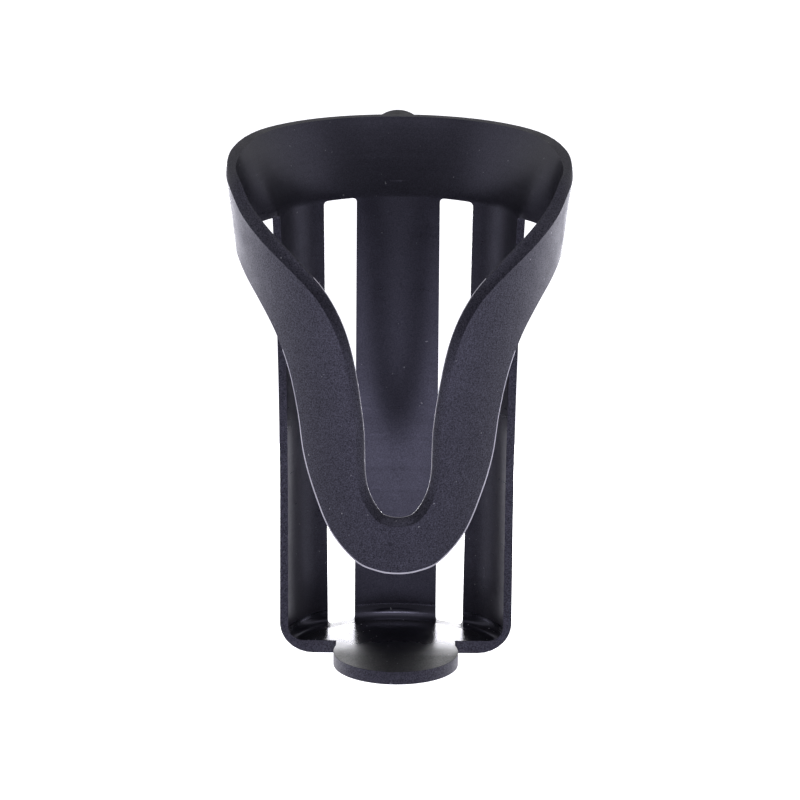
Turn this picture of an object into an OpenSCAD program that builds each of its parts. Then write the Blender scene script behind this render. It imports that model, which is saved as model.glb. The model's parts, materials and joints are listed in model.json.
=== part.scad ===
// Desk clamp cup holder: a one-piece open cage that drops onto a dovetail
// carrier, a swivel between carrier and clamp, and a screw clamp for a desk edge.
// Frame: +Z up, cage axis on the Z axis, underside of the cage floor at Z = 0,
// the open loop faces -Y and the desk is on the +Y side.

/* [Cup cage] */
// Outside radius of the cage wall near the floor
cage_r = 38; // [37:0.1:39]
// Wall thickness of the cage near the floor
wall = 2.5; // [2.4:0.1:3.4]
// Thickness of the floor and its front tongue
floor_t = 4.1; // [3:0.1:5]
// Height at which the wall turns into the flared collar
collar_z = 141; // [140:0.5:142]
// Radius of the collar's rim
rim_r = 52; // [50:0.5:54]
// Distance from the cage axis to the plane where the wall is cut off in front
cut_y = 11; // [8:0.5:14]
// Radius of the round tongue in front of the floor
tongue_r = 19.5; // [16:0.1:22]

/* [Slots] */
// Half width of the centre slat between the two slots
slat_half = 12.95; // [12.5:0.05:14]
// Half distance between the outer edges of the slots, at the floor
slot_outer = 21.4; // [20:0.1:23]
// How much further out the slots reach at their top
slot_spread = 1.7; // [0:0.1:2.5]

/* [Swivel] */
// Height of the swivel axis
pivot_z = 151.5; // [150:0.1:153]
// Radius of the swivel disc
disc_r = 9.9; // [9.6:0.1:11]
// Distance of the dovetail's back face from the cage axis
rail_back = 50; // [49:0.5:51]

/* [Clamp] */
// Width of the clamp frame
frame_w = 24; // [20:1:25]
// Width of the upper jaw
jaw_w = 50; // [30:1:60]
// Height of the upper pad's lower face
throat_top = 130; // [128:0.5:131]
// Opening between pad and pressure foot at rest
throat_rest = 30; // [20:1:34]
// Distance of the clamp screw from the cage axis
screw_y = 98; // [94:1:102]
// Nominal diameter of the clamp screw
screw_d = 8; // [6:1:8]
// Radius of the knob and of the pressure foot
knob_r = 12.4; // [11:0.1:12.8]

/* [Hidden] */
$fn = 72;
eps = 0.01;
over = 1;               // how far a cut goes past the face it opens
beyond = 200;           // larger than anything in the model
run_gap = 0.05;         // radial play of a shaft that turns in a hole
fixed_gap = 0.1;        // radial play of a fixed bolt in its hole
drop_gap = 0.2;         // clearance around a part that only has to drop in
slide_gap = 0.15;       // play of the dovetail in its channel
plastic = [0.14, 0.14, 0.17];
frame_plastic = [0.17, 0.17, 0.19];
rubber_black = [0.1, 0.1, 0.1];
steel = [0.72, 0.73, 0.75];
brass = [0.8, 0.65, 0.3];
nylon = [0.9, 0.9, 0.86];

// Cage wall
flare_z = 47;           // below this height the wall is a plain cylinder
flare = 2.2;            // how much the wall has opened where the collar starts
wall_top = 2.3;         // wall thickness where the collar starts
corner_r = 10;          // outer radius between wall and floor
fillet_r = 4.5;         // inner radius between wall and floor
tongue_y = 0.8;         // centre of the tongue's round edge
tongue_neck = tongue_r - 0.8; // half width where the tongue leaves the floor
slot_low = 3.6;         // lower end of the slots, a shallow notch in the floor
slot_top = 141;
slot_in_r = 31.3;       // the slots' cut stops at this radius
slot_corner = 1.2;
slot_reach = [20, 60];  // distances from the axis between which the slots are cut
slot_floor_h = 28;      // height of the core that keeps the slots out of the floor
wall_steps = 6;
arc_step = 15;
tuck = 0.2;             // the wall's top ends this deep inside the collar's foot

// Collar and loop: one band around the axis, widest at the back, which dips in
// front into a U. Each row is [azimuth, height] of the lower edge, then of the
// upper edge, from the back (0 degrees) to the front (180 degrees).
loop_cone_z = 50;       // the front of the band lies on a cone: its radius
loop_cone_r = 40;       // at this height, and its slope
loop_cone_slope = 0.118;
loop_wall = 3.2;
rim_wall = 4.2;
lip = 1.4;              // depth of the bevel along the band's upper outer edge
lip_share = 0.1;        // and the share of the band's height it takes
band = [
    [0, collar_z, 0, 164.4],
    [20, collar_z, 20, 164.4],
    [40, collar_z, 40, 164.3],
    [60, collar_z, 60, 163.9],
    [76, collar_z, 78, 162.4],
    [90, 140.2, 92, 160],
    [102, 134.4, 104.5, 157.6],
    [112, 129, 114, 152],
    [121, 123.4, 127, 145.8],
    [129.5, 115, 141, 138.3],
    [135, 104, 153, 128.8],
    [137.8, 91, 161, 114],
    [139, 78, 165.5, 90],
    [143, 66.5, 166.3, 74],
    [150, 54.5, 168, 67],
    [161, 46, 172.3, 62.6],
    [170.5, 43.2, 176.2, 60.8],
    [180, 42.4, 180, 60.4]
];
band_steps = 5;         // stations between two rows
band_turn = [74, 102];  // azimuths between which the band leaves the wall

// Dovetail rail on the cage, and its channel in the carrier
rail_half = 9.5;
rail_t = 4;
stem_half = 5.5;
rail_low = 98;
rail_high = 146;
rail_root = [cage_r - 0.2, cage_r + 1]; // where the stem starts, below and above
carrier_half = 12;
channel_floor = 4;
lip_t = 2.4;
plate_t = 3.85;

// Swivel stack along Y
plate_back = rail_back + slide_gap + plate_t;
disc_back = plate_back + 10;
rib_half = 7.2;         // the rib under the swivel disc
rib_low = 108;
rib_step = 3;
face_gap = 0.4;
frame_face = disc_back + face_gap;
head_r = 5.5;
head_t = 3;
head_y = plate_back + drop_gap;
key_af = 4;
key_depth = 1.8;
pivot_r = 3;
ring_t = 0.8;
recess_r = 6.2;
recess_back = disc_back + 2 * ring_t;
stop_pin_r = 1;
stop_radius = 7.7;
stop_depth = 3.7;
stop_clear = 0.5;       // between the pin's end and the groove's floor
spine_back = 76;
pocket_y = 70;
pocket_r = 7;
nut_af = 10;
nut_t = 4.2;
cap_r = 8.2;
cap_t = 1.8;
cap_skirt = 3;
cap_wall = 1;
head_end_r = 9.3;
head_drop = 7;          // the frame is square from this far below the axis

// Clamp frame
arm_t = 6;
jaw_t = 4;
pad_t = 3;
jaw_low = throat_top + pad_t;
arm_low = jaw_low + jaw_t;
arm_high = arm_low + arm_t;
arm_end = 114;
jaw_front = 84;
jaw_back = 118;
frame_round = 1.5;
web_pocket = 4;         // depth of the pockets in the spine's sides
web_wall = 3;           // what they leave in front and behind,
web_end = 8;            // and at both ends
web_round = 2;
lower_arm_z = [54, 66];
lower_arm_end = screw_y + 11;
boss_r = 11;
boss_z = [52, 68];
insert_r = 5.5;
spine_pad_t = 2;
screw_pitch_y = 18;     // distance between the two jaw screws
jaw_screws_y = 99;      // and the middle between them
jaw_screw_r = 1.65;
jaw_hole_r = 2.1;
jaw_head_r = 3.9;
jaw_head_h = 2;
cross_half = 2;         // the cross recess: half its length,
cross_w = 0.8;          // its width
cross_depth = 1.2;      // and depth
jaw_round = 5;
jaw_steps = 8;
pad_margin = 1;
pad_groove = [1, 0.6];  // width and depth of the grooves in the upper pad
pad_groove_pitch = 4;
pad_groove_end = 6;
spine_pad_margin = [2, 4];

// Clamp screw and pressure foot
thread_r = screw_d / 2 - run_gap;
foot_top = throat_top - throat_rest;
foot_pad_t = 2.5;
ball_z = foot_top - 8;
ball_r = 5.5;
ball_half = 4;          // the ball bush is a sphere cut flat at this half height
spigot_r = 2.5;
spigot_end = ball_z + 4.9;
neck_r = 3.2;
neck_z = ball_z - 7;
neck_h = 3;
neck_taper = 0.8;
clip_z = ball_z + ball_half;
clip_t = 0.7;
clip_r = 4;
clip_depth = 0.5;
clip_open = 2.4;
foot_low = ball_z - 3.5;
foot_low_r = 8;
foot_flare_h = 5;
foot_well_r = 4.6;
foot_mouth = [5, 4, 1]; // lower and upper radius and height of the mouth's chamfer
foot_grooves = [4, 7.5];
foot_groove = [1, 0.6]; // width and depth of the grooves in the foot's pad
knob_top = boss_z[0] - 27;
knob_h = 20;
knob_low = knob_top - knob_h;
knob_crown = 5;
knob_crown_r = 8;
knob_lobes = 8;
lobe_r = 3;
lobe_out = 1.4;         // the flutes' centres lie this far outside the knob
plug_t = 2;
plug_r = [6.5, 5];      // outer and inner radius of the knob cap's skirt
bolt_head_af = 13;
bolt_head_t = 5.3;
bolt_head_z = knob_low + 10;

function mix(a, b, t) = a + (b - a) * t;
function ease(t) = let (c = max(0, min(1, t))) c * c * (3 - 2 * c);
function af_radius(af) = af / sqrt(3);

// Outline with every corner rounded to radius r, as arcs of n steps
function rounded(pts, r, n = 4) = [
    for (i = [0:len(pts) - 1])
        let (
            p = pts[i],
            a = pts[(i + len(pts) - 1) % len(pts)] - p,
            b = pts[(i + 1) % len(pts)] - p,
            ua = a / norm(a),
            ub = b / norm(b),
            half = acos(ua * ub) / 2,
            mid = (ua + ub) / norm(ua + ub),
            centre = p + mid * r / sin(half),
            start = p + ua * r / tan(half) - centre,
            turn = sign(ua[0] * ub[1] - ua[1] * ub[0]) * (180 - 2 * half)
        )
        for (k = [0:n])
            let (t = -turn * k / n)
            centre + [start[0] * cos(t) - start[1] * sin(t),
                      start[0] * sin(t) + start[1] * cos(t)]
];

// Outside radius of the cage wall at height z, and of the loop's cone
function wall_r(z) = cage_r + flare * pow(max(0, z - flare_z) / (collar_z - flare_z), 2);
function cone_r(z) = loop_cone_r + (z - loop_cone_z) * loop_cone_slope;
function wall_in_r(z) = wall_r(z) - mix(wall, wall_top, max(0, z) / collar_z);

// Curve through the band's rows, with the rows mirrored past both ends
function mirrored(row, about) = [2 * about - row[0], row[1], 2 * about - row[2], row[3]];
function band_row(i) =
    i < 0 ? mirrored(band[-i], 0)
    : i >= len(band) ? mirrored(band[2 * len(band) - 2 - i], 180)
    : band[i];
function band_at(i, t) =
    let (a = band_row(i - 1), b = band_row(i), c = band_row(i + 1), d = band_row(i + 2))
    (2 * b + (c - a) * t + (2 * a - 5 * b + 4 * c - d) * t * t
        + (3 * b - a - 3 * c + d) * t * t * t) / 2;
function band_blend(az) = ease((az - band_turn[0]) / (band_turn[1] - band_turn[0]));

// Point of the band at share v of its height, sunk from the outside by depth
function band_point(row, v, depth) =
    let (
        az = mix(row[0], row[2], v),
        z = mix(row[1], row[3], v),
        w = band_blend(az),
        low = mix(wall_r(row[1]), cone_r(row[1]), w),
        high = mix(rim_r, cone_r(row[3]), w),
        r = mix(low, high, pow(v, mix(1.25, 1, w))) - depth
    )
    [r * sin(az), r * cos(az), z];
function band_wall(row, v) =
    let (w = band_blend(mix(row[0], row[2], v)))
    mix(mix(wall_top, loop_wall, w), mix(rim_wall, loop_wall, w), v);
function band_section(row) = [
    for (v = [0, 0.3, 0.6, 1 - lip_share]) band_point(row, v, 0),
    band_point(row, 1, lip),
    for (v = [1, 0.7, 0.35, 0]) band_point(row, v, band_wall(row, v))
];

module along_y(y0, y1, x = 0, z = pivot_z) {
    translate([x, y1, z]) rotate([90, 0, 0]) linear_extrude(y1 - y0) children();
}

// Extrudes a YZ outline
module along_x(x0, x1) {
    translate([x1, 0, 0]) rotate([90, 0, -90]) mirror([1, 0, 0])
        linear_extrude(x1 - x0) children();
}

module hexagon(af) {
    circle(r = af_radius(af), $fn = 6);
}

module block(x, y, z) {
    translate([x[0], y[0], z[0]]) cube([x[1] - x[0], y[1] - y[0], z[1] - z[0]]);
}

module ring_z(r_out, r_in, z0, z1) {
    translate([0, 0, z0]) difference() {
        cylinder(r = r_out, h = z1 - z0);
        translate([0, 0, -1]) cylinder(r = r_in, h = z1 - z0 + 2);
    }
}

// Cup cage

module band_solid() {
    rows = [for (i = [0:len(band) - 2], k = [0:band_steps - 1]) band_at(i, k / band_steps)];
    half = [for (row = rows) band_section(row)];
    front = [band_section(band[len(band) - 1])];
    other = [for (i = [len(half) - 1:-1:1]) [for (p = half[i]) [-p[0], p[1], p[2]]]];
    rings = concat(half, front, other);
    n = len(rings);
    m = len(rings[0]);
    points = [for (ring = rings) for (p = ring) p];
    faces = [
        for (i = [0:n - 1], k = [0:m - 1])
            let (
                a = i * m + k,
                b = i * m + (k + 1) % m,
                c = ((i + 1) % n) * m + (k + 1) % m,
                d = ((i + 1) % n) * m + k
            )
            each [[a, c, b], [a, d, c]]
    ];
    polyhedron(points, faces);
}

module wall_profile() {
    step = (collar_z - flare_z) / wall_steps;
    outer = [for (z = [flare_z:step:collar_z + eps]) [wall_r(z) - tuck, z]];
    inner = [for (z = [collar_z:-step:flare_z - eps]) [wall_in_r(z) + tuck, z]];
    corner = [for (a = [-90:arc_step:0])
        [cage_r - tuck - corner_r + corner_r * cos(a), corner_r + corner_r * sin(a)]];
    fillet = [for (a = [0:-arc_step:-90])
        [wall_in_r(fillet_r) - fillet_r + fillet_r * cos(a), floor_t + fillet_r + fillet_r * sin(a)]];
    top = [[wall_r(collar_z) - tuck, collar_z + over], [wall_in_r(collar_z) + tuck, collar_z + over]];
    polygon(concat([[0, 0]], corner, outer, top, inner, fillet, [[0, floor_t]]));
}

module slot_cut(side) {
    outline = rounded([
        [slat_half, slot_low],
        [slot_outer, slot_low],
        [slot_outer + slot_spread, slot_top],
        [slat_half, slot_top]
    ], slot_corner);
    mirror([side, 0, 0]) difference() {
        along_y(slot_reach[0], slot_reach[1], z = 0) polygon(outline);
        translate([0, 0, -over]) cylinder(r = slot_in_r, h = slot_floor_h + over);
    }
}

module rail() {
    stem_back = rail_back - rail_t + eps;
    along_x(-stem_half, stem_half) polygon([
        [rail_root[0], rail_low],
        [stem_back, rail_low],
        [stem_back, rail_high],
        [rail_root[1], rail_high]
    ]);
    block([-rail_half, rail_half], [rail_back - rail_t, rail_back], [rail_low, rail_high]);
}

module cup_cage() color(plastic) {
    difference() {
        union() {
            intersection() {
                rotate_extrude($fn = 96) wall_profile();
                block([-beyond, beyond], [cut_y, beyond], [-over, beyond]);
            }
            band_solid();
        }
        for (side = [0, 1]) slot_cut(side);
    }
    translate([0, tongue_y, 0]) cylinder(r = tongue_r, h = floor_t);
    block([-tongue_neck, tongue_neck], [0, cut_y + over], [0, floor_t]);
    rail();
}

// Swivel between carrier and clamp

module swivel_carrier() color(frame_plastic) {
    channel_half = rail_half + slide_gap;
    lip_front = rail_back - rail_t - slide_gap - lip_t;
    difference() {
        union() {
            block([-carrier_half, carrier_half], [lip_front, plate_back], [rail_low - channel_floor, rail_high]);
            along_y(plate_back - eps, disc_back) circle(r = disc_r);
            block([-rib_half, rib_half], [plate_back - eps, disc_back - rib_step],
                  [rib_low, pivot_z - disc_r + rib_step]);
        }
        block([-channel_half, channel_half],
              [rail_back - rail_t - slide_gap, rail_back + slide_gap],
              [rail_low - eps, rail_high + over]);
        block([-stem_half - slide_gap, stem_half + slide_gap],
              [lip_front - over, rail_back - rail_t],
              [rail_low - channel_floor - over, rail_high + over]);
        along_y(plate_back - over, head_y + head_t + fixed_gap) circle(r = head_r + drop_gap);
        along_y(plate_back, disc_back + over) circle(r = pivot_r + run_gap);
        stop_groove();
    }
}

// Half ring in the back of the disc, which the stop pin runs in
module stop_groove() {
    play = stop_pin_r + slide_gap;
    translate([0, disc_back + over, pivot_z]) rotate([90, 0, 0])
        rotate([0, 0, 180]) rotate_extrude(angle = 180)
            translate([stop_radius - play, 0]) square([2 * play, stop_depth + over]);
    for (side = [-1, 1])
        along_y(disc_back - stop_depth, disc_back + over, x = side * stop_radius) circle(r = play);
}

module pivot_bolt() color(steel) {
    difference() {
        along_y(head_y, head_y + head_t) circle(r = head_r);
        along_y(head_y - over, head_y + key_depth) hexagon(key_af);
    }
    along_y(head_y + head_t - eps, spine_back - drop_gap) circle(r = pivot_r);
}

module friction_ring() color(nylon) {
    along_y(disc_back, disc_back + ring_t) difference() {
        circle(r = recess_r - drop_gap);
        circle(r = pivot_r + drop_gap);
    }
}

module wave_washer() color(steel) {
    along_y(disc_back + ring_t, recess_back) difference() {
        circle(r = recess_r - ring_t);
        circle(r = pivot_r + drop_gap);
    }
}

module stop_pin() color(steel) {
    along_y(disc_back - stop_depth + stop_clear, pocket_y, z = pivot_z - stop_radius)
        circle(r = stop_pin_r);
}

module pivot_washer() color(steel) {
    along_y(pocket_y, pocket_y + ring_t) difference() {
        circle(r = pocket_r - over);
        circle(r = pivot_r + fixed_gap);
    }
}

module pivot_nut() color(steel) {
    along_y(pocket_y + ring_t, pocket_y + ring_t + nut_t) difference() {
        hexagon(nut_af);
        circle(r = pivot_r);
    }
}

module hub_cap() color(frame_plastic) {
    along_y(spine_back, spine_back + cap_t) circle(r = cap_r);
    along_y(spine_back - cap_skirt, spine_back + eps) difference() {
        circle(r = pocket_r - run_gap);
        circle(r = pocket_r - run_gap - cap_wall);
    }
}

// Clamp

module clamp_frame() color(frame_plastic) {
    half = frame_w / 2;
    side = rounded([
        [frame_face, lower_arm_z[0]],
        [lower_arm_end, lower_arm_z[0]],
        [lower_arm_end, lower_arm_z[1]],
        [spine_back, lower_arm_z[1]],
        [spine_back, arm_low],
        [arm_end, arm_low],
        [arm_end, arm_high],
        [spine_back, arm_high],
        [spine_back, pivot_z],
        [frame_face, pivot_z]
    ], frame_round);
    pocket = rounded([
        [frame_face + web_wall, lower_arm_z[0] + web_end],
        [spine_back - web_wall, lower_arm_z[1] + web_end],
        [spine_back - web_wall, arm_low - web_end],
        [frame_face + web_wall, arm_low - web_end]
    ], web_round);
    difference() {
        union() {
            along_x(-half, half) polygon(side);
            along_y(frame_face, spine_back) circle(r = head_end_r);
            translate([0, screw_y, boss_z[0]]) cylinder(r = boss_r, h = boss_z[1] - boss_z[0]);
        }
        head_corners();
        for (x = [-half - over, half - web_pocket])
            along_x(x, x + web_pocket + over) polygon(pocket);
        along_y(frame_face - over, recess_back) circle(r = recess_r);
        along_y(recess_back - over, spine_back) circle(r = pivot_r + fixed_gap);
        along_y(pocket_y, spine_back + over) circle(r = pocket_r);
        along_y(spine_back, spine_back + cap_t + fixed_gap) circle(r = cap_r + fixed_gap);
        along_y(frame_face - over, pocket_y, z = pivot_z - stop_radius) circle(r = stop_pin_r);
        translate([0, screw_y, boss_z[0] - over])
            cylinder(r = insert_r, h = boss_z[1] - boss_z[0] + 2 * over);
        jaw_screw_places() translate([0, 0, -over])
            cylinder(r = jaw_screw_r, h = jaw_t + arm_t + 2 * over);
    }
}

// What is cut away beside the round end of the frame's head
module head_corners() {
    along_y(frame_face - over, spine_back + over) difference() {
        translate([-frame_w, -head_drop]) square([2 * frame_w, head_drop + over]);
        circle(r = head_end_r);
    }
}

module jaw_screw_places() {
    for (y = [-1, 1])
        translate([0, jaw_screws_y + y * screw_pitch_y / 2, jaw_low]) children();
}

module upper_jaw() color(frame_plastic) {
    difference() {
        translate([0, 0, jaw_low]) linear_extrude(jaw_t) polygon(rounded([
            [-jaw_w / 2, jaw_front],
            [jaw_w / 2, jaw_front],
            [jaw_w / 2, jaw_back],
            [-jaw_w / 2, jaw_back]
        ], jaw_round, jaw_steps));
        jaw_screw_places() {
            translate([0, 0, -over]) cylinder(r = jaw_hole_r, h = jaw_t + 2 * over);
            translate([0, 0, -eps])
                cylinder(r1 = jaw_head_r + drop_gap, r2 = jaw_hole_r, h = jaw_head_h);
        }
    }
}

module jaw_screws() color(steel) {
    jaw_screw_places() difference() {
        union() {
            cylinder(r1 = jaw_head_r, r2 = jaw_hole_r - drop_gap, h = jaw_head_h);
            cylinder(r = jaw_screw_r, h = jaw_t + arm_t - over);
        }
        cross_recess();
    }
}

module cross_recess() {
    for (a = [0, 90])
        rotate([0, 0, a])
            block([-cross_half, cross_half], [-cross_w / 2, cross_w / 2], [-eps, cross_depth]);
}

module upper_pad() color(rubber_black) {
    half = jaw_w / 2 - pad_margin;
    difference() {
        translate([0, 0, throat_top]) linear_extrude(pad_t) polygon(rounded([
            [-half, jaw_front + pad_margin],
            [half, jaw_front + pad_margin],
            [half, jaw_back - pad_margin],
            [-half, jaw_back - pad_margin]
        ], jaw_round - pad_margin, jaw_steps));
        for (y = [jaw_front + pad_groove_end:pad_groove_pitch:jaw_back - pad_groove_end])
            block([-jaw_w, jaw_w],
                  [y - pad_groove[0] / 2, y + pad_groove[0] / 2],
                  [throat_top - over, throat_top + pad_groove[1]]);
    }
}

module spine_pad() color(rubber_black) {
    half = frame_w / 2 - spine_pad_margin[0];
    block([-half, half], [spine_back, spine_back + spine_pad_t],
          [lower_arm_z[1] + spine_pad_margin[1], arm_low - spine_pad_margin[1]]);
}

module screw_insert() color(brass) {
    translate([0, screw_y, 0]) ring_z(insert_r, screw_d / 2, boss_z[0], boss_z[1]);
}

// Clamp screw, knob and pressure foot

module clamp_screw() color(steel) {
    translate([0, screw_y, 0]) {
        translate([0, 0, bolt_head_z])
            cylinder(r = af_radius(bolt_head_af), h = bolt_head_t, $fn = 6);
        translate([0, 0, bolt_head_z]) cylinder(r = thread_r, h = neck_z - bolt_head_z);
        translate([0, 0, neck_z - eps]) cylinder(r1 = thread_r, r2 = neck_r, h = neck_taper);
        translate([0, 0, neck_z]) cylinder(r = neck_r, h = neck_h);
        difference() {
            translate([0, 0, neck_z + over]) cylinder(r = spigot_r, h = spigot_end - neck_z - over);
            ring_z(spigot_r + over, spigot_r - clip_depth, clip_z, clip_z + clip_t);
        }
    }
}

module ball_bush() color(nylon) {
    translate([0, screw_y, ball_z]) difference() {
        intersection() {
            sphere(r = ball_r);
            block([-ball_r, ball_r], [-ball_r, ball_r], [-ball_half, ball_half]);
        }
        translate([0, 0, -ball_r]) cylinder(r = spigot_r + run_gap, h = 2 * ball_r);
    }
}

module e_clip() color(steel) {
    translate([0, screw_y, clip_z]) difference() {
        cylinder(r = clip_r, h = clip_t);
        translate([0, 0, -over]) cylinder(r = spigot_r - clip_depth + eps, h = clip_t + 2 * over);
        block([-clip_open / 2, clip_open / 2], [0, clip_r + over], [-over, clip_t + over]);
    }
}

module foot_cup() color(frame_plastic) {
    rim_z = foot_low + foot_flare_h;
    translate([0, screw_y, 0]) difference() {
        union() {
            translate([0, 0, foot_low]) cylinder(r1 = foot_low_r, r2 = knob_r, h = foot_flare_h);
            translate([0, 0, rim_z - eps])
                cylinder(r = knob_r, h = foot_top - foot_pad_t - rim_z + eps);
        }
        translate([0, 0, ball_z]) sphere(r = ball_r + run_gap);
        translate([0, 0, ball_z]) cylinder(r = foot_well_r, h = foot_top - ball_z);
        translate([0, 0, foot_low - eps])
            cylinder(r1 = foot_mouth[0], r2 = foot_mouth[1], h = foot_mouth[2]);
    }
}

module foot_pad() color(rubber_black) {
    translate([0, screw_y, foot_top - foot_pad_t]) difference() {
        cylinder(r = knob_r, h = foot_pad_t);
        for (r = foot_grooves)
            ring_z(r + foot_groove[0], r, foot_pad_t - foot_groove[1], foot_pad_t + over);
    }
}

module knob() color(frame_plastic) {
    translate([0, screw_y, knob_low]) difference() {
        union() {
            cylinder(r = knob_r, h = knob_h - knob_crown);
            translate([0, 0, knob_h - knob_crown - eps])
                cylinder(r1 = knob_r, r2 = knob_crown_r, h = knob_crown + eps);
        }
        for (k = [0:knob_lobes - 1])
            rotate([0, 0, 360 * (k + 0.5) / knob_lobes]) translate([knob_r + lobe_out, 0, -over])
                cylinder(r = lobe_r, h = knob_h + 2 * over, $fn = 32);
        translate([0, 0, -over]) cylinder(r = thread_r, h = knob_h + 2 * over);
        translate([0, 0, -over])
            cylinder(r = af_radius(bolt_head_af) + run_gap,
                     h = bolt_head_z + bolt_head_t - knob_low + over);
    }
}

module knob_cap() color(frame_plastic) {
    translate([0, screw_y, knob_low]) {
        cylinder(r = af_radius(bolt_head_af), h = plug_t);
        translate([0, 0, plug_t - eps]) difference() {
            cylinder(r = plug_r[0], h = bolt_head_z - knob_low - plug_t - drop_gap);
            translate([0, 0, eps]) cylinder(r = plug_r[1], h = bolt_head_z - knob_low);
        }
    }
}

cup_cage();
swivel_carrier();
pivot_bolt();
friction_ring();
wave_washer();
stop_pin();
pivot_washer();
pivot_nut();
hub_cap();
clamp_frame();
upper_jaw();
jaw_screws();
upper_pad();
spine_pad();
screw_insert();
clamp_screw();
ball_bush();
e_clip();
foot_cup();
foot_pad();
knob();
knob_cap();
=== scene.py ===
"""Looks for the desk clamp cup holder: a dense sheet mesh for the cage, a real
thread on the clamp screw, rounded edges on the moulded parts, and procedural
materials. Lengths in the shape code are millimetres, in the CAD frame."""

import json
import math

import bmesh
import bpy
from mathutils import Matrix, Vector


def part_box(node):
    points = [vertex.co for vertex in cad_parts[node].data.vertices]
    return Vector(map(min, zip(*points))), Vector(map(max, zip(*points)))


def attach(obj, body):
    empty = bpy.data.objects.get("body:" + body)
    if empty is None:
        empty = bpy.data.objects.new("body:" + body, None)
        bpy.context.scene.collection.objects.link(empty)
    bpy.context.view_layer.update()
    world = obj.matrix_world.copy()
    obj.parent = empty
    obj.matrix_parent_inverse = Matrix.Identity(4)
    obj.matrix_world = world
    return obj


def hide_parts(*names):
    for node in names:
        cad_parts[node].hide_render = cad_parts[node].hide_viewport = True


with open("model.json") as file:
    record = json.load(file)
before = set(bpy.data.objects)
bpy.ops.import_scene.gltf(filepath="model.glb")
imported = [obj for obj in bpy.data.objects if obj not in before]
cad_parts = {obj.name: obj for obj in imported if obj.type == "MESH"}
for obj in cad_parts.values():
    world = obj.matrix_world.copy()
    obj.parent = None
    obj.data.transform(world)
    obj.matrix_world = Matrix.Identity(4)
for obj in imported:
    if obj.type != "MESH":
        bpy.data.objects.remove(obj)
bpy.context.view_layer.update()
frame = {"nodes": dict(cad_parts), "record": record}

MM = 0.001


def box_mm(node):
    """Lowest and highest corner of a CAD node in millimetres."""
    low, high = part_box(node)
    return low / MM, high / MM


# Cage wall and floor, as in the CAD model
CAGE_R = 38.0
WALL = 2.5
WALL_TOP = 2.3
FLOOR_T = 4.1
CORNER_R = 10.0
FILLET_R = 4.5
FLARE_Z = 47.0
FLARE = 2.2
COLLAR_Z = 141.0
CUT_Y = 11.0
TONGUE_R = 19.5
TONGUE_Y = 0.8
TONGUE_NECK = 18.7

# Slots between the three slats
SLAT_HALF = 12.95
SLOT_OUTER = 21.4
SLOT_SPREAD = 1.7
SLOT_LOW = 3.6
SLOT_IN_R = 31.3
SLOT_CORNER = 1.2

# Collar and loop: azimuth and height of the lower edge, then of the upper edge
RIM_R = 52.0
RIM_WALL = 4.2
LOOP_WALL = 3.2
LOOP_CONE_Z = 50.0
LOOP_CONE_R = 40.0
LOOP_CONE_SLOPE = 0.118
BAND_TURN = (74.0, 102.0)
COLLAR_CURVE = 1.25
BAND = (
    (0, COLLAR_Z, 0, 164.4),
    (20, COLLAR_Z, 20, 164.4),
    (40, COLLAR_Z, 40, 164.3),
    (60, COLLAR_Z, 60, 163.9),
    (76, COLLAR_Z, 78, 162.4),
    (90, 140.2, 92, 160),
    (102, 134.4, 104.5, 157.6),
    (112, 129, 114, 152),
    (121, 123.4, 127, 145.8),
    (129.5, 115, 141, 138.3),
    (135, 104, 153, 128.8),
    (137.8, 91, 161, 114),
    (139, 78, 165.5, 90),
    (143, 66.5, 165.8, 74),
    (150, 54.5, 168, 66.8),
    (161, 46.0, 172.3, 61.8),
    (170.5, 43.2, 176.2, 60.3),
    (180, 42.4, 180, 60.0),
)

# Lip along the upper edge: how far it reaches down outside at the back, side and front,
# its profile (0 is a quarter ellipse, 0.5 a flat bevel), and the flat strip inside it
LIP_BACK = 0.8
LIP_SIDE = 3.0
LIP_FRONT = 2.2
LIP_BULGE_BACK = 0.1
LIP_BULGE = 0.42
LIP_FLAT = 0.6
LIP_SIDE_TURN = (80.0, 108.0)
LIP_FRONT_TURN = (120.0, 165.0)
CREASE_ROUND = 0.5

# Painted highlight: a bright strip painted along the loop's lower and inner edges, where their rounded
# edges catch the light
HIGHLIGHT_STRIP = 0.5
TOP_HIGHLIGHT_STRIP = 0.4
HIGHLIGHT_START = 133.0

# Dovetail rail on the cage's back
RAIL_Z = (98.0, 146.0)
RAIL_ROOT = (CAGE_R - 0.2, CAGE_R + 1)
RAIL_BACK = 50.0
RAIL_T = 4.0
RAIL_HALF = 9.5
STEM_HALF = 5.5
RAIL_ROUND = 0.4

# Clamp screw, from its hexagon head to the spigot on which the foot's bush sits
HEAD_AF = 13.0
HEAD_H = 5.3
HEAD_CHAMFER = 0.2
HEAD_CHAMFER_H = 0.6
THREAD_R = 3.95
THREAD_PITCH = 1.25
THREAD_DEPTH = 0.7
THREAD_FLANK = 1.6
THREAD_ROOT = 0.3
NECK_BELOW_BALL = 7.0
NECK_R = 3.2
NECK_H = 3.0
NECK_STEP = 0.2
SPIGOT_R = 2.5
SPIGOT_CHAMFER = 0.3
CLIP_GROOVE_R = 2.0
SCREW_SIDES = 32
ROWS_PER_TURN = 10

# Mesh density
SLAT_COLUMNS = 6
SLOT_COLUMNS = 4
SIDE_COLUMNS = 9
ROWS_BELOW_SLOT = 4
ROWS_AT_SLOT_END = 4
ROWS_TO_WALL = 5
SLOT_END_CURVE = 1.5
FILLET_ROWS = ROWS_BELOW_SLOT + ROWS_AT_SLOT_END + ROWS_TO_WALL + 1
LOW_WALL_ROWS = 4
HIGH_WALL_ROWS = 10
BAND_ROWS = 12
LIP_ROWS = 6
STATIONS_PER_ROW = 6
ARC_STEPS = 24
EDGE_ROUND = 0.26
BEVEL_SEGMENTS = 3
BEVEL_ANGLE = math.radians(35)
SMOOTH_ANGLE = math.radians(40)


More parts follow.
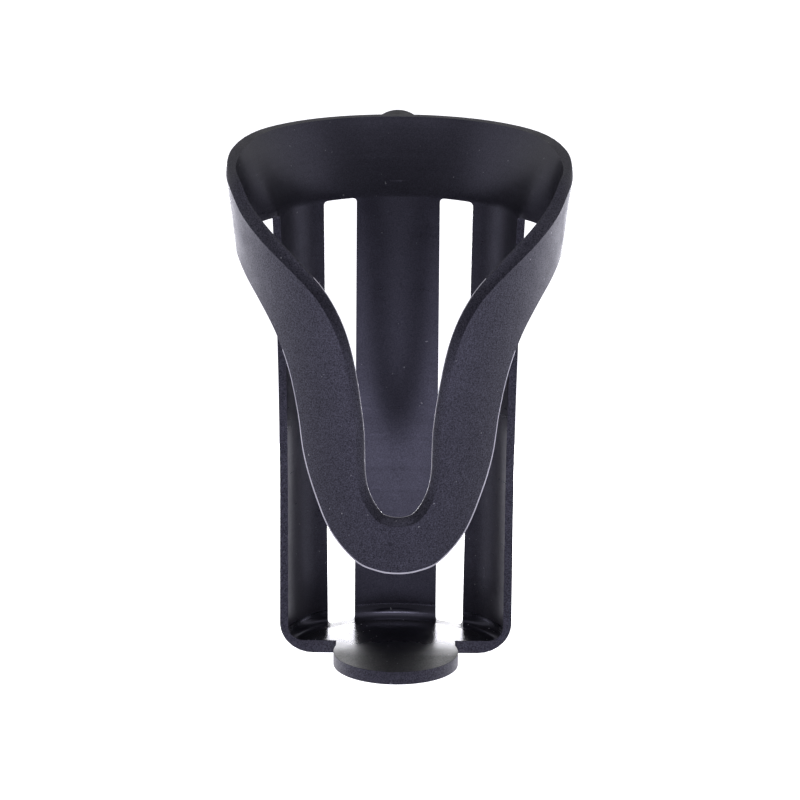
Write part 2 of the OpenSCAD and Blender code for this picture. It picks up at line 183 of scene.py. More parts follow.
def mix(a, b, t):
    return a + (b - a) * t


def ease(t):
    t = max(0.0, min(1.0, t))
    return t * t * (3 - 2 * t)


def wall_r(z):
    return CAGE_R + FLARE * (max(0.0, z - FLARE_Z) / (COLLAR_Z - FLARE_Z)) ** 2


def wall_in_r(z):
    return wall_r(z) - mix(WALL, WALL_TOP, max(0.0, z) / COLLAR_Z)


def cone_r(z):
    return LOOP_CONE_R + (z - LOOP_CONE_Z) * LOOP_CONE_SLOPE


def on_circle(r, azimuth, z):
    """Point at an azimuth in degrees from the back (+Y) towards +X."""
    a = math.radians(azimuth)
    return Vector((r * math.sin(a), r * math.cos(a), z))


# ---- collar and loop ----


def band_row(i):
    """Row i of BAND, mirrored past both ends."""
    last = len(BAND) - 1
    if i < 0:
        low, z_low, high, z_high = BAND[-i]
        return (-low, z_low, -high, z_high)
    if i > last:
        low, z_low, high, z_high = BAND[2 * last - i]
        return (360 - low, z_low, 360 - high, z_high)
    return BAND[i]


def band_at(s):
    """Row of the band at station s, on a smooth curve through the rows of BAND."""
    i = min(int(s), len(BAND) - 1)
    t = s - i
    rows = [band_row(i + k) for k in (-1, 0, 1, 2)]
    return [
        (2 * b + (c - a) * t + (2 * a - 5 * b + 4 * c - d) * t * t
         + (3 * b - a - 3 * c + d) * t ** 3) / 2
        for a, b, c, d in zip(*rows)
    ]


HALVINGS = 40


def station_of(azimuth):
    """Station at which the band's lower edge has this azimuth."""
    low, high = 0.0, float(len(BAND) - 1)
    for _ in range(HALVINGS):
        middle = (low + high) / 2
        if band_at(middle)[0] < azimuth:
            low = middle
        else:
            high = middle
    return (low + high) / 2


def turned(azimuth, turn):
    """Share of a turn between two azimuths that is done at this azimuth."""
    return ease((azimuth - turn[0]) / (turn[1] - turn[0]))


def band_point(row, v, depth, shift=0.0):
    """Point at share v of the band's height, sunk by depth from the outside."""
    azimuth = mix(row[0], row[2], v)
    w = turned(azimuth, BAND_TURN)
    low = mix(wall_r(row[1]), cone_r(row[1]), w)
    high = mix(RIM_R, cone_r(row[3]), w)
    r = mix(low, high, v ** mix(COLLAR_CURVE, 1.0, w)) - depth
    return on_circle(r, azimuth + shift * (1 - v), mix(row[1], row[3], v))


def band_wall(row, v):
    w = turned(mix(row[0], row[2], v), BAND_TURN)
    return mix(mix(WALL_TOP, LOOP_WALL, w), mix(RIM_WALL, LOOP_WALL, w), v)


def lip_shape(azimuth):
    """Reach down, share of the wall taken inwards, and profile of the lip."""
    side = turned(azimuth, LIP_SIDE_TURN)
    front = turned(azimuth, LIP_FRONT_TURN)
    reach = mix(mix(LIP_BACK, LIP_SIDE, side), LIP_FRONT, front)
    return reach, side, mix(LIP_BULGE_BACK, LIP_BULGE, side)


def band_column(row, shift):
    """Outer and inner points of one station, from the lower to the upper inner edge."""
    height = (band_point(row, 1, 0) - band_point(row, 0, 0)).length
    reach, side, bulge = lip_shape(row[2])
    thick = band_wall(row, 1)
    deep = mix(LIP_BACK, thick - LIP_FLAT, side)
    crease = 1 - reach / height
    # Share of the height taken by the lower edge strip, which carries the painted edge highlight at the
    # loop's front
    highlight_share = HIGHLIGHT_STRIP / height
    outer = [band_point(row, 0, 0)]
    outer += [band_point(row, mix(highlight_share, crease, k / BAND_ROWS), 0) for k in range(BAND_ROWS + 1)]
    for k in range(1, LIP_ROWS + 1):
        t = k / LIP_ROWS
        turn = 2 * t * (1 - t) * bulge
        below = ((1 - t) ** 2 + turn) * reach
        outer.append(band_point(row, 1 - below / height, (turn + t * t) * deep))
    # The last strip, on the top at the inner edge, also carries the painted edge highlight at the loop's
    # front
    outer += [band_point(row, 1, thick - TOP_HIGHLIGHT_STRIP), band_point(row, 1, thick)]
    steps = len(outer) - 1
    inner = [
        band_point(row, k / steps, band_wall(row, k / steps), shift) for k in range(steps + 1)
    ]
    return outer, inner


# ---- wall and slots ----


def slot_bend(z):
    """How far the slot's side has moved in at height z, at its rounded ends."""
    end = min(z - SLOT_LOW, COLLAR_Z - z)
    share = max(0.0, min(1.0, 1 - end / SLOT_CORNER))
    return SLOT_CORNER * (1 - math.sqrt(1 - share * share))


def slot_x(z):
    """Inner and outer X of the slot at height z."""
    spread = SLOT_SPREAD * (z - SLOT_LOW) / (COLLAR_Z - SLOT_LOW)
    bend = slot_bend(z) if z >= SLOT_LOW - EDGE_ROUND else SLOT_CORNER
    return SLAT_HALF + bend, SLOT_OUTER + spread - bend


def wall_azimuths(r, z):
    """Azimuths of all wall columns on a surface of radius r."""
    x_in, x_out = slot_x(z)
    cut = CUT_Y - (slot_bend(z) if z > COLLAR_Z / 2 else 0.0)
    slot_in = math.degrees(math.asin(x_in / r))
    slot_out = math.degrees(math.asin(x_out / r))
    end = math.degrees(math.acos(cut / r))
    return (
        [slot_in * k / SLAT_COLUMNS for k in range(SLAT_COLUMNS)]
        + [mix(slot_in, slot_out, k / SLOT_COLUMNS) for k in range(SLOT_COLUMNS)]
        + [mix(slot_out, end, k / SIDE_COLUMNS) for k in range(SIDE_COLUMNS + 1)]
    )


def wall_rows():
    """Rows of the wall, from the floor up, as (outer r, outer z, inner r, inner z)."""
    slot_angle = math.acos(1 - SLOT_LOW / CORNER_R)
    bend_angle = math.acos(1 - (SLOT_LOW + SLOT_CORNER) / CORNER_R)
    fillet_out = wall_in_r(FILLET_R) - FILLET_R
    slot_in_angle = math.asin((SLOT_IN_R - fillet_out) / FILLET_R)
    quarter = math.pi / 2
    pairs = []
    for k in range(ROWS_BELOW_SLOT):
        share = k / ROWS_BELOW_SLOT
        pairs.append((slot_angle * share, slot_in_angle * share))
    for k in range(ROWS_AT_SLOT_END):
        share = k / ROWS_AT_SLOT_END
        pairs.append((mix(slot_angle, bend_angle, share ** SLOT_END_CURVE), slot_in_angle * (1 + share)))
    for k in range(ROWS_TO_WALL + 1):
        share = k / ROWS_TO_WALL
        pairs.append((mix(bend_angle, quarter, share), mix(2 * slot_in_angle, quarter, share)))
    rows = []
    for outer, inner in pairs:
        rows.append((
            CAGE_R - CORNER_R + CORNER_R * math.sin(outer),
            CORNER_R * (1 - math.cos(outer)),
            fillet_out + FILLET_R * math.sin(inner),
            FLOOR_T + FILLET_R * (1 - math.cos(inner)),
        ))
    heights = [mix(CORNER_R, FLARE_Z, k / LOW_WALL_ROWS) for k in range(1, LOW_WALL_ROWS)]
    bend_z = COLLAR_Z - SLOT_CORNER
    heights += [mix(FLARE_Z, bend_z, k / HIGH_WALL_ROWS) for k in range(HIGH_WALL_ROWS + 1)]
    heights += [
        COLLAR_Z - SLOT_CORNER * (1 - math.sin(quarter * k / ROWS_AT_SLOT_END))
        for k in range(1, ROWS_AT_SLOT_END)
    ]
    rows += [(wall_r(z), z, wall_in_r(z), z) for z in heights]
    return rows


# ---- the sheet: pairs of outer and inner points ----

# Points closer than this, in millimetres, are one point
SAME_POINT = 1e-4


class Sheet:
    """A surface of point pairs, which is closed along its open edges."""

    def __init__(self):
        self.outer = []
        self.inner = []
        self.faces = []
        self.creases = []
        self.keys = {}

    def pair(self, outer, inner):
        """Index of a pair. A pair on the centre line or already known is shared."""
        key = tuple(round(c, 4) for c in (*outer, *inner))
        if key not in self.keys:
            self.keys[key] = len(self.outer)
            self.outer.append(outer)
            self.inner.append(inner)
        return self.keys[key]

    def face(self, points, part, flip):
        ids = [self.pair(*point) for point in points]
        self.faces.append((ids[::-1] if flip else ids, part))

    def both_sides(self, points, part):
        """Adds a face and its mirror image about X = 0."""
        self.face(points, part, False)
        mirror = [tuple(Vector((-p.x, p.y, p.z)) for p in pair) for pair in points]
        self.face(mirror, part, True)

    def crease(self, points, weight):
        """Rounds the outer edge through these pairs by a share of the full radius."""
        for side in (1, -1):
            pairs = [tuple(Vector((side * p.x, p.y, p.z)) for p in pair) for pair in points]
            ids = [self.pair(*pair) for pair in pairs]
            self.creases += [(a, b, weight) for a, b in zip(ids, ids[1:])]

    def grid(self, columns, part, skip=lambda i, k: False, edge=None):
        """Faces between columns. The first and last row get the edge part, if there is one."""
        for i in range(len(columns) - 1):
            for k in range(len(columns[i]) - 1):
                if not skip(i, k):
                    a, b = columns[i], columns[i + 1]
                    quad = [a[k], b[k], b[k + 1], a[k + 1]]
                    last = len(a) - 2
                    self.both_sides(quad, edge if edge and k in (0, last) else part)

    def edges(self):
        """Directed edges that only one face uses."""
        used = {}
        for ids, _ in self.faces:
            for a, b in zip(ids, ids[1:] + ids[:1]):
                used[(a, b)] = used.get((a, b), 0) + 1
        return [edge for edge in used if edge[::-1] not in used]

    def mesh(self, name, materials):
        """Mesh in metres. A face's part picks its outer and its inner material."""
        count = len(self.outer)
        verts = [p * MM for p in self.outer + self.inner]
        same = {
            i + count: i for i in range(count) if (self.outer[i] - self.inner[i]).length < SAME_POINT
        }

        def lower(i):
            return same.get(i + count, i + count)

        faces, parts = [], []
        for ids, part in self.faces:
            faces.append(ids)
            parts.append(part[0])
            faces.append([lower(i) for i in reversed(ids)])
            parts.append(part[1])
        walls = []
        for a, b in self.edges():
            if a + count in same and b + count in same:
                continue
            walls.append([b, a, lower(a), lower(b)])
        data = bpy.data.meshes.new(name)
        data.from_pydata(verts, [], faces + walls)
        for material in materials:
            data.materials.append(material)
        for polygon, part in zip(data.polygons, parts):
            polygon.material_index = part
        self.round_edges(data, walls)
        return data

    def round_edges(self, data, walls):
        """Marks the rims of the closing faces and the creases for the bevel. Floors stay flat."""
        bm = bmesh.new()
        bm.from_mesh(data)
        bm.verts.ensure_lookup_table()
        weight = bm.edges.layers.float.new("bevel_weight_edge")
        for a, b, c, d in walls:
            for ends in ((a, b), (c, d)):
                edge = bm.edges.get([bm.verts[i] for i in ends])
                if edge:
                    edge[weight] = 1.0
        for a, b, share in self.creases:
            edge = bm.edges.get((bm.verts[a], bm.verts[b]))
            if edge:
                edge[weight] = share
        loose = [v for v in bm.verts if not v.link_faces]
        bmesh.ops.delete(bm, geom=loose, context="VERTS")
        bmesh.ops.recalc_face_normals(bm, faces=bm.faces)
        for face in bm.faces:
            face.smooth = len(face.verts) <= 4
        bm.to_mesh(data)
        bm.free()


# Places in the cage's list of materials; the last paints the highlight along the loop's edges
OUTSIDE, INSIDE, FLOOR, PAINTED_HIGHLIGHT = range(4)


def cage_sheet():
    """Wall with its slots, collar, loop and floor, as one closed sheet."""
    sheet = Sheet()
    columns = []
    for r_out, z_out, r_in, z_in in wall_rows():
        outer = [on_circle(r_out, a, z_out) for a in wall_azimuths(r_out, z_out)]
        inner = [on_circle(r_in, a, z_in) for a in wall_azimuths(r_in, z_out)]
        columns.append(list(zip(outer, inner)))
    columns = [list(column) for column in zip(*columns)]
    slots = range(SLAT_COLUMNS, SLAT_COLUMNS + SLOT_COLUMNS)
    tops = wall_azimuths(wall_r(COLLAR_Z), COLLAR_Z)
    tops_in = wall_azimuths(wall_in_r(COLLAR_Z), COLLAR_Z)
    band = []
    for azimuth, azimuth_in in zip(tops, tops_in):
        outer, inner = band_column(band_at(station_of(azimuth)), azimuth_in - azimuth)
        band.append(list(zip(outer, inner)))
    highlight_from = 0
    for column, upper in zip(columns, band):
        column.append(upper[0])
    low = [column[:FILLET_ROWS] for column in columns]
    high = [column[FILLET_ROWS - 1:] for column in columns]
    sheet.grid(low, (OUTSIDE, FLOOR), lambda i, k: i in slots and k >= ROWS_BELOW_SLOT)
    sheet.grid(high, (OUTSIDE, INSIDE), lambda i, k: i in slots)
    first = station_of(tops[-1])
    count = round((len(BAND) - 1 - first) * STATIONS_PER_ROW)
    shift = tops_in[-1] - tops[-1]
    for k in range(1, count + 1):
        row = band_at(mix(first, len(BAND) - 1, k / count))
        outer, inner = band_column(row, shift * max(0.0, 1 - k / STATIONS_PER_ROW))
        band.append(list(zip(outer, inner)))
        # From this azimuth on, the loop's front gets the painted edge highlight
        if row[0] < HIGHLIGHT_START:
            highlight_from = len(band)
    sheet.crease([column[BAND_ROWS + 1] for column in band], CREASE_ROUND)
    sheet.crease([column[-1] for column in band], CREASE_ROUND)
    sheet.grid(band[:highlight_from], (OUTSIDE, INSIDE))
    # Lower and inner edge strips of the loop's front: light grey that paints the edge highlight
    sheet.grid(band[highlight_from - 1:], (OUTSIDE, INSIDE), edge=(PAINTED_HIGHLIGHT, INSIDE))
    add_floor(sheet, [column[0] for column in columns])
    return sheet


def add_floor(sheet, edge):
    """Underside and top of the floor with its tongue, as one pair of flat faces."""
    half = [tuple(Vector((TONGUE_NECK, CUT_Y, z)) for z in (0, FLOOR_T))]
    start = math.degrees(math.asin(TONGUE_NECK / TONGUE_R))
    for k in range(ARC_STEPS + 1):
        azimuth = mix(start, 180, k / ARC_STEPS)
        centre = Vector((0, TONGUE_Y, 0))
        half.append(tuple(centre + on_circle(TONGUE_R, azimuth, z) for z in (0, FLOOR_T)))
    half = edge + half
    mirror = [tuple(Vector((-p.x, p.y, p.z)) for p in pair) for pair in half[1:-1]]
    sheet.face(half + mirror[::-1], (OUTSIDE, FLOOR), True)


# ---- materials ----

# Scales are in features per metre, depths in metres
SPECULAR_TINT = (0.72, 0.70, 1.0)
CLOUD_SCALE = 45
WEAR_SCALE = 160
GRAIN_SCALE = 2600
GRAIN_DEPTH = 0.00004
STREAK_SCALE = (4, 4, 800)
WEAR = 0.05
WEAR_UNDER_STREAKS = 0.02
SPECK_SCALE = 1100
SPECK_EDGE = (0.85, 0.88)
DUST = (0.30, 0.30, 0.33)
MATTE_LOSS = 0.75
STAIN_SCALE = 220
MARK_SCALE = 900
MARK_STRENGTH = 0.2


def node_tree(name):
    material = bpy.data.materials.new(name)
    material.use_nodes = True
    tree = material.node_tree
    return material, tree, tree.nodes["Principled BSDF"]


def add_node(tree, kind, **inputs):
    node = tree.nodes.new(kind)
    for key, value in inputs.items():
        node.inputs[key.replace("_", " ")].default_value = value
    return node


def link(tree, source, target):
    tree.links.new(source, target)


def noise(tree, where, scale, detail=2.0, stretch=(1, 1, 1)):
    """Noise in object space, between 0 and 1."""
    mapping = add_node(tree, "ShaderNodeMapping")
    mapping.inputs["Scale"].default_value = stretch
    link(tree, where, mapping.inputs["Vector"])
    texture = add_node(tree, "ShaderNodeTexNoise", Scale=scale, Detail=detail)
    link(tree, mapping.outputs["Vector"], texture.inputs["Vector"])
    return texture.outputs["Fac"]


def ranged(tree, source, low, high, to_low, to_high):
    """Source, clamped between low and high, as a value between to_low and to_high."""
    node = add_node(tree, "ShaderNodeMapRange")
    keys = ("From Min", "From Max", "To Min", "To Max")
    for key, value in zip(keys, (low, high, to_low, to_high)):
        node.inputs[key].default_value = value
    link(tree, source, node.inputs["Value"])
    return node.outputs["Result"]


def added(tree, a, b):
    node = tree.nodes.new("ShaderNodeMath")
    link(tree, a, node.inputs[0])
    link(tree, b, node.inputs[1])
    return node.outputs["Value"]


def blended(tree, share, a, b):
    """Colour between a and b, which are colours or outputs of nodes."""
    node = tree.nodes.new("ShaderNodeMix")
    node.data_type = "RGBA"
    link(tree, share, node.inputs["Factor"])
    for socket, value in ((node.inputs["A"], a), (node.inputs["B"], b)):
        if isinstance(value, tuple):
            socket.default_value = (*value, 1)
        else:
            link(tree, value, socket)
    return node.outputs["Result"]


def bumped(tree, height, strength, depth):
    bump = add_node(tree, "ShaderNodeBump", Strength=strength, Distance=depth)
    link(tree, height, bump.inputs["Height"])
    return bump.outputs["Normal"]


def along_y(tree, where):
    """Y of a position or a direction."""
    parts = add_node(tree, "ShaderNodeSeparateXYZ")
    link(tree, where, parts.inputs["Vector"])
    return parts.outputs["Y"]


def moulded(name, dark, light, rough, grain=0.25, shine=0.5, streaks=0.0, dust=0.0, worn=None):
    """Moulded plastic or rubber: clouded colour, fine grain, drag streaks and dust.

    Worn is (front Y, back Y, extra roughness): the surface gets matte towards the front.
    """
    material, tree, shader = node_tree(name)
    where = add_node(tree, "ShaderNodeTexCoord").outputs["Object"]
    clouds = noise(tree, where, CLOUD_SCALE, 4)
    color = blended(tree, ranged(tree, clouds, 0.35, 0.65, 0, 1), dark, light)
    if dust:
        specks = ranged(tree, noise(tree, where, SPECK_SCALE, 0), *SPECK_EDGE, 0, dust)
        color = blended(tree, specks, color, DUST)
    link(tree, color, shader.inputs["Base Color"])
    shader.inputs["Specular Tint"].default_value = (*SPECULAR_TINT, 1)
    fine = noise(tree, where, GRAIN_SCALE)
    wear = noise(tree, where, WEAR_SCALE, 3)
    spread = WEAR_UNDER_STREAKS if streaks else WEAR
    surface = ranged(tree, wear, 0.3, 0.7, rough - spread, rough + spread)
    if streaks:
        lines = noise(tree, where, 1, 1, STREAK_SCALE)
        surface = added(tree, surface, ranged(tree, lines, 0.35, 0.65, -streaks, streaks))
    glint = ranged(tree, fine, 0.3, 0.7, shine * (1 - grain), shine * (1 + grain))
    if worn:
        front, back, extra = worn
        depth = along_y(tree, where)
        surface = added(tree, surface, ranged(tree, depth, front, back, extra, 0))
        glint = added(tree, glint, ranged(tree, depth, front, back, -shine * MATTE_LOSS, 0))
    link(tree, surface, shader.inputs["Roughness"])
    link(tree, glint, shader.inputs["Specular IOR Level"])
    link(tree, bumped(tree, fine, grain, GRAIN_DEPTH), shader.inputs["Normal"])
    return material


def metal(name, color, tint, rough, stretch):
    """Plated or turned metal: fine tool marks along one direction and faint stains."""
    material, tree, shader = node_tree(name)
    where = add_node(tree, "ShaderNodeTexCoord").outputs["Object"]
    shader.inputs["Metallic"].default_value = 1
    stains = noise(tree, where, STAIN_SCALE, 4)
    base = blended(tree, ranged(tree, stains, 0.35, 0.7, 0, 1), color, tint)
    link(tree, base, shader.inputs["Base Color"])
    marks = noise(tree, where, MARK_SCALE, stretch=stretch)
    surface = ranged(tree, marks, 0.3, 0.7, rough - 0.08, rough + 0.1)
    link(tree, surface, shader.inputs["Roughness"])
    link(tree, bumped(tree, marks, MARK_STRENGTH, GRAIN_DEPTH), shader.inputs["Normal"])
    return material


cage_outside = moulded(
    "cage_outside", (0.0045, 0.0042, 0.0065), (0.007, 0.0066, 0.0098), 0.45, grain=0.65, dust=0.5)
cage_inside = moulded(
    "cage_inside", (0.0035, 0.0033, 0.005), (0.0055, 0.0053, 0.0078), 0.31, grain=0.25,
    shine=0.70, streaks=0.025, dust=0.35)
cage_floor = moulded(
    "cage_floor", (0.003, 0.0029, 0.004), (0.005, 0.0048, 0.0065), 0.2, grain=0.15,
    shine=0.95, dust=0.6, worn=(-0.004, 0.013, 0.3))
# Light grey material that paints the highlight caught by the loop's rounded lower and inner edges
cage_painted_highlight = moulded(
    "cage_painted_highlight", (0.34, 0.33, 0.38), (0.50, 0.49, 0.56), 0.3, grain=0.3, shine=0.8)
FINISH = {
    "cage_plastic": cage_outside,
    "clamp_plastic": moulded(
        "clamp_plastic", (0.006, 0.006, 0.0075), (0.010, 0.010, 0.012), 0.46, grain=0.5,
        shine=0.35),
    "gloss_cap": moulded(
        "gloss_cap", (0.004, 0.004, 0.005), (0.006, 0.006, 0.008), 0.26, grain=0.08),
    "pad_rubber": moulded(
        "pad_rubber", (0.009, 0.009, 0.009), (0.016, 0.016, 0.017), 0.72, grain=0.7),
    "zinc_steel": metal("zinc_steel", (0.60, 0.62, 0.66), (0.50, 0.52, 0.55), 0.27, (1, 1, 6)),
    "insert_brass": metal("insert_brass", (0.78, 0.58, 0.26), (0.66, 0.46, 0.20), 0.24, (1, 1, 8)),
    "natural_nylon": moulded(
        "natural_nylon", (0.72, 0.70, 0.62), (0.80, 0.78, 0.70), 0.42, grain=0.2),
}


# ---- pieces ----

REPLACED = ("cup_cage", "clamp_screw")


def add_piece(name, data, body, slot, *nodes):
    piece = bpy.data.objects.new(name, data)
    bpy.context.scene.collection.objects.link(piece)
    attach(piece, body)
    if nodes:
        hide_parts(*nodes)
    return piece


def add_bevel(piece, width, limit="ANGLE"):
    bevel = piece.modifiers.new("round", "BEVEL")
    bevel.width = width * MM
    bevel.segments = BEVEL_SEGMENTS
    bevel.limit_method = limit
    bevel.angle_limit = BEVEL_ANGLE
    bevel.harden_normals = True


def make_cage():
    materials = (cage_outside, cage_inside, cage_floor, cage_painted_highlight)
    data = cage_sheet().mesh("cage_shell", materials)
    piece = add_piece("cage_shell", data, "cage", "cage_plastic", "cup_cage")
    add_bevel(piece, EDGE_ROUND, "WEIGHT")


def prism(name, low, high, material):
    """Closed prism between two outlines with as many points each, in millimetres."""
    count = len(low)
    verts = [Vector(point) * MM for point in low + high]
    faces = [list(range(count))[::-1], list(range(count, 2 * count))]
    for i in range(count):
        k = (i + 1) % count
        faces.append([i, k, k + count, i + count])
    data = bpy.data.meshes.new(name)
    data.from_pydata(verts, [], faces)
    data.materials.append(material)
    return data


def make_rail():
    """Dovetail on the back of the cage, which drops into the carrier's channel."""
    front = RAIL_BACK - RAIL_T
    ends = []
    for z, root in zip(RAIL_Z, RAIL_ROOT):
        side = [(STEM_HALF, root), (STEM_HALF, front), (RAIL_HALF, front), (RAIL_HALF, RAIL_BACK)]
        ends.append([(x, y, z) for x, y in side] + [(-x, y, z) for x, y in side[::-1]])
    data = prism("cage_rail", *ends, cage_outside)
    add_bevel(add_piece("cage_rail", data, "cage", "cage_plastic"), RAIL_ROUND)


def thread_height(share):
    """Height of a thread with a flat crest and root, from 0 to 1, at a share of its pitch."""
    return max(0.0, min(1.0, THREAD_FLANK * abs(2 * (share % 1) - 1) - THREAD_ROOT))


def thread_rows(low, high):
    """Rows (z, radii) of a helical thread that runs out at both ends."""
    rows = []
    count = round((high - low) / THREAD_PITCH * ROWS_PER_TURN)
    for k in range(count + 1):
        z = mix(low, high, k / count)
        runout = max(0.0, min(1.0, (z - low) / THREAD_PITCH, (high - z) / (2 * THREAD_PITCH)))
        radii = []
        for i in range(SCREW_SIDES):
            height = runout * thread_height(z / THREAD_PITCH - i / SCREW_SIDES)
            radii.append(THREAD_R - THREAD_DEPTH + THREAD_DEPTH * height)
        rows.append((z, radii))
    return rows


def spigot_rows(neck, top):
    """Rows of the turned end: neck, spigot, and the groove that the clip sits in."""
    clip_low, clip_high = box_mm("e_clip")
    profile = [
        (neck + NECK_STEP, NECK_R),
        (neck + NECK_H, NECK_R),
        (neck + NECK_H, SPIGOT_R),
        (clip_low.z, SPIGOT_R),
        (clip_low.z, CLIP_GROOVE_R),
        (clip_high.z, CLIP_GROOVE_R),
        (clip_high.z, SPIGOT_R),
        (top - SPIGOT_CHAMFER, SPIGOT_R),
        (top, SPIGOT_R - SPIGOT_CHAMFER),
    ]
    return [(z, [r] * SCREW_SIDES) for z, r in profile]


def head_rows(low, high):
    """Rows of the hexagon head, chamfered below."""
    flat = HEAD_AF / 2
    hexagon = []
    for i in range(SCREW_SIDES):
        a = (2 * math.pi * i / SCREW_SIDES) % (math.pi / 3) - math.pi / 6
        hexagon.append(min(HEAD_AF / math.sqrt(3), flat / math.cos(a)))
    chamfered = [min(r, flat - HEAD_CHAMFER) for r in hexagon]
    return [(low, chamfered), (low + HEAD_CHAMFER_H, hexagon), (high, hexagon)]


def skin(name, rows, axis):
    """Closed mesh around a vertical axis through rows of (z, radii), in millimetres."""
    verts, faces = [], []
    sides = len(rows[0][1])
    for z, radii in rows:
        for i, r in enumerate(radii):
            a = 2 * math.pi * i / sides
            verts.append((axis + Vector((r * math.cos(a), r * math.sin(a), z))) * MM)
    for low in range(0, (len(rows) - 1) * sides, sides):
        high = low + sides
        for i in range(sides):
            n = (i + 1) % sides
            faces.append([low + i, low + n, high + n, high + i])
    faces.append(list(range(sides))[::-1])
    faces.append([(len(rows) - 1) * sides + i for i in range(sides)])
    data = bpy.data.meshes.new(name)
    data.from_pydata(verts, [], faces)
    return data


def make_screw():
    """Clamp screw with a real helical thread between its head and its neck."""
    low, high = box_mm("clamp_screw")
    ball_low, ball_high = box_mm("ball_bush")
    axis = Vector(((low.x + high.x) / 2, (low.y + high.y) / 2, 0))
    head_top = low.z + HEAD_H
    neck = (ball_low.z + ball_high.z) / 2 - NECK_BELOW_BALL
    rows = head_rows(low.z, head_top) + thread_rows(head_top, neck) + spigot_rows(neck, high.z)
    data = skin("clamp_screw_thread", rows, axis)
    data.materials.append(FINISH["zinc_steel"])
    smooth_by_angle(data)
    add_piece("clamp_screw_thread", data, "screw", "zinc_steel", "clamp_screw")


def smooth_by_angle(data):
    """Smooth faces, with the edges above the angle limit kept sharp."""
    bm = bmesh.new()
    bm.from_mesh(data)
    for edge in bm.edges:
        if len(edge.link_faces) == 2:
            edge.smooth = edge.calc_face_angle() < SMOOTH_ANGLE
    for face in bm.faces:
        face.smooth = True
    bm.to_mesh(data)
    bm.free()


# Edge radius of the CAD nodes in millimetres, and what counts as flat when facets are joined
NODE_ROUND = {
    "clamp_frame": 0.8,
    "upper_jaw": 0.8,
    "swivel_carrier": 0.5,
    "knob": 0.7,
    "knob_cap": 0.4,
    "hub_cap": 0.5,
    "foot_cup": 0.5,
    "foot_pad": 0.25,
    "upper_pad": 0.3,
    "spine_pad": 0.5,
}
SMALL_ROUND = 0.12
WELD_M = 1e-6
FLAT_ANGLE = math.radians(0.6)


def finish_node(name, slot):
    """Rounds a CAD node's edges with modifiers only and gives it its material."""
    piece = frame["nodes"][name]
    piece.data.materials.clear()
    piece.data.materials.append(FINISH[slot])
    weld = piece.modifiers.new("weld", "WELD")
    weld.merge_threshold = WELD_M
    flat = piece.modifiers.new("flat", "DECIMATE")
    flat.decimate_type = "DISSOLVE"
    flat.angle_limit = FLAT_ANGLE
    add_bevel(piece, NODE_ROUND.get(name, SMALL_ROUND))


def finish_nodes():
    """Finishes every CAD node that no piece has replaced."""
    for part in frame["record"]["subparts"]:
        if part["node"] not in REPLACED:
            finish_node(part["node"], part["material_slot"])


# ---- stage ----

# Brightness of the surroundings by the Y of the direction, as (Y, brightness): dim on the
# camera's side (-1), brighter overhead and behind the object (1)
WORLD_LIGHT = ((-1.0, 0.2), (-0.6, 0.3), (-0.1, 0.9), (0.3, 0.8), (0.8, 0.45), (1.0, 0.35))
# Brightness of the floor as (Y, brightness): a light table with a dark strip in front
FLOOR_LIGHT = (
    (-1.2, 0.1), (-0.6, 0.1), (-0.4, 0.9), (-0.32, 3.2), (-0.25, 3.2), (-0.2, 1.2), (-0.16, 0.1),
    (-0.1, 0.1), (-0.03, 0.9), (0.1, 1.3), (0.6, 3.0),
)
# What the camera sees of the backdrop and of the floor's own glow
WORLD_SEEN = 1.0
FLOOR_SEEN = 0.75
FLOOR_Z = -0.03
FLOOR_FAR = 3.0
FLOOR_CLOUDS = 3
FLOOR_TONES = ((0.93, 0.93, 0.94), (0.96, 0.96, 0.96))
FLOOR_GLOW = (0.92, 0.91, 1.0)
FLOOR_ROUGH = 0.9

# Area lights: place, target, size and power
KEY_LIGHT = ((0, -0.5, 1.1), (0, 0, 0.08), (1.0, 0.1), 2)
BACK_CARD = ((0, 0.35, 0.05), (0, 0, 0.05), (0.32, 0.14), 1.4)

# Camera in front of the object, turned by yaw about the cage axis
CAMERA_AWAY = 1.2
CAMERA_HIGH = 0.421743
CAMERA_SIDE = 0.00070
CAMERA_PITCH = 0.273
CAMERA_YAW = math.radians(0.5)
CAMERA_ROLL = 0.008
CAMERA_LENS = 182.985
CAMERA_SENSOR = 36
CAMERA_REACH = 20


def make_camera():
    data = bpy.data.cameras.new("camera")
    data.lens = CAMERA_LENS
    data.sensor_width = CAMERA_SENSOR
    data.clip_end = CAMERA_REACH
    camera = bpy.data.objects.new("camera", data)
    bpy.context.scene.collection.objects.link(camera)
    yaw = Matrix.Rotation(-CAMERA_YAW, 4, "Z")
    place = yaw @ Matrix.Translation((CAMERA_SIDE, -CAMERA_AWAY, CAMERA_HIGH))
    tilt = Matrix.Rotation(math.pi / 2 - CAMERA_PITCH, 4, "X")
    camera.matrix_world = place @ tilt @ Matrix.Rotation(CAMERA_ROLL, 4, "Z")
    bpy.context.scene.camera = camera


def add_light(name, place, target, size, power):
    data = bpy.data.lights.new(name, "AREA")
    data.shape = "RECTANGLE"
    data.size, data.size_y = size
    data.energy = power
    lamp = bpy.data.objects.new(name, data)
    bpy.context.scene.collection.objects.link(lamp)
    lamp.location = place
    lamp.rotation_euler = (Vector(target) - Vector(place)).to_track_quat("-Z", "Y").to_euler()


def ramped(tree, source, stops):
    """Value that follows the stops, which are pairs of source value and result."""
    low, high = stops[0][0], stops[-1][0]
    peak = max(value for _, value in stops)
    node = tree.nodes.new("ShaderNodeValToRGB")
    ramp = node.color_ramp
    ramp.interpolation = "EASE"
    for at, _ in stops[1:-1]:
        ramp.elements.new((at - low) / (high - low))
    for element, (_, value) in zip(ramp.elements, stops):
        element.color = (value / peak, value / peak, value / peak, 1)
    link(tree, ranged(tree, source, low, high, 0, 1), node.inputs["Fac"])
    return ranged(tree, node.outputs["Color"], 0, 1, 0, peak)


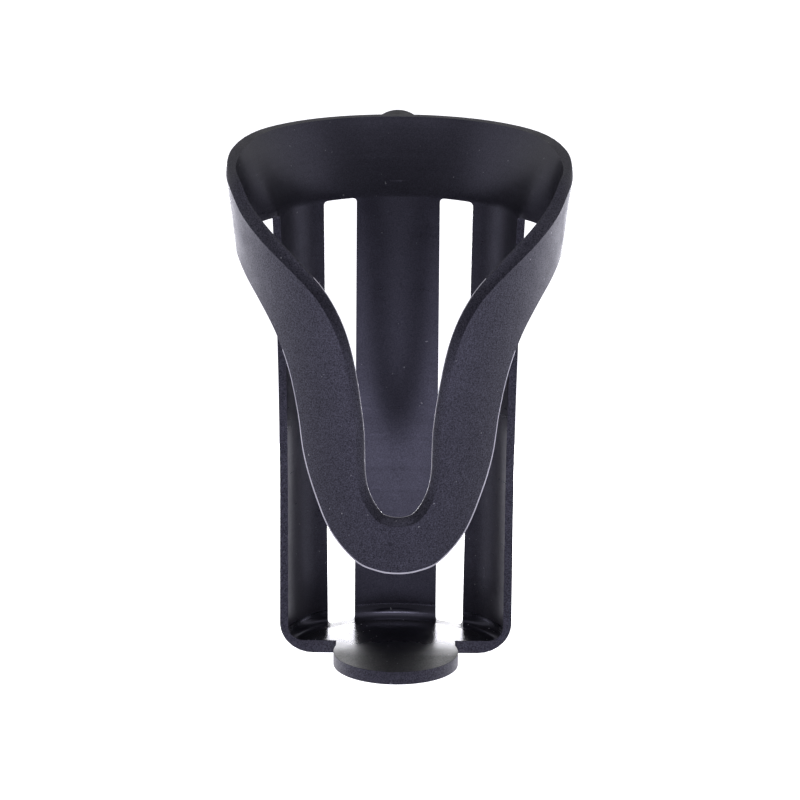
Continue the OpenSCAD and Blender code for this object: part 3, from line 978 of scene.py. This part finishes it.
def plain_to_camera(tree, strength, shown):
    """Strength for all light but what the camera sees directly, which is one even value."""
    seen = add_node(tree, "ShaderNodeLightPath").outputs["Is Camera Ray"]
    node = add_node(tree, "ShaderNodeMix")
    node.inputs["B"].default_value = shown
    link(tree, seen, node.inputs["Factor"])
    link(tree, strength, node.inputs["A"])
    return node.outputs["Result"]


def make_floor():
    """Plain pale floor that glows like a light table. The camera sees an even glow."""
    front = FLOOR_LIGHT[0][0]
    outline = (
        (-FLOOR_FAR, front), (FLOOR_FAR, front), (FLOOR_FAR, FLOOR_FAR), (-FLOOR_FAR, FLOOR_FAR))
    corners = [(x, y, FLOOR_Z) for x, y in outline]
    data = bpy.data.meshes.new("floor")
    data.from_pydata(corners, [], [(0, 1, 2, 3)])
    floor = bpy.data.objects.new("floor", data)
    bpy.context.scene.collection.objects.link(floor)
    material, tree, shader = node_tree("pale_floor")
    where = add_node(tree, "ShaderNodeTexCoord").outputs["Object"]
    tone = blended(tree, noise(tree, where, FLOOR_CLOUDS), *FLOOR_TONES)
    link(tree, tone, shader.inputs["Base Color"])
    shader.inputs["Roughness"].default_value = FLOOR_ROUGH
    shader.inputs["Emission Color"].default_value = (*FLOOR_GLOW, 1)
    glow = ramped(tree, along_y(tree, where), FLOOR_LIGHT)
    link(tree, plain_to_camera(tree, glow, FLOOR_SEEN), shader.inputs["Emission Strength"])
    data.materials.append(material)


def make_world():
    """Backdrop that lights unevenly, as a studio does, but looks plain white."""
    world = bpy.data.worlds.new("studio")
    world.use_nodes = True
    tree = world.node_tree
    where = add_node(tree, "ShaderNodeTexCoord").outputs["Generated"]
    glow = ramped(tree, along_y(tree, where), WORLD_LIGHT)
    background = tree.nodes["Background"]
    background.inputs["Color"].default_value = (1, 1, 1, 1)
    link(tree, plain_to_camera(tree, glow, WORLD_SEEN), background.inputs["Strength"])
    bpy.context.scene.world = world


def make_stage():
    bpy.context.scene.view_settings.view_transform = "Standard"
    make_world()
    make_floor()
    add_light("key", *KEY_LIGHT)
    add_light("behind", *BACK_CARD)


make_cage()
make_rail()
make_screw()
finish_nodes()
make_stage()
make_camera()
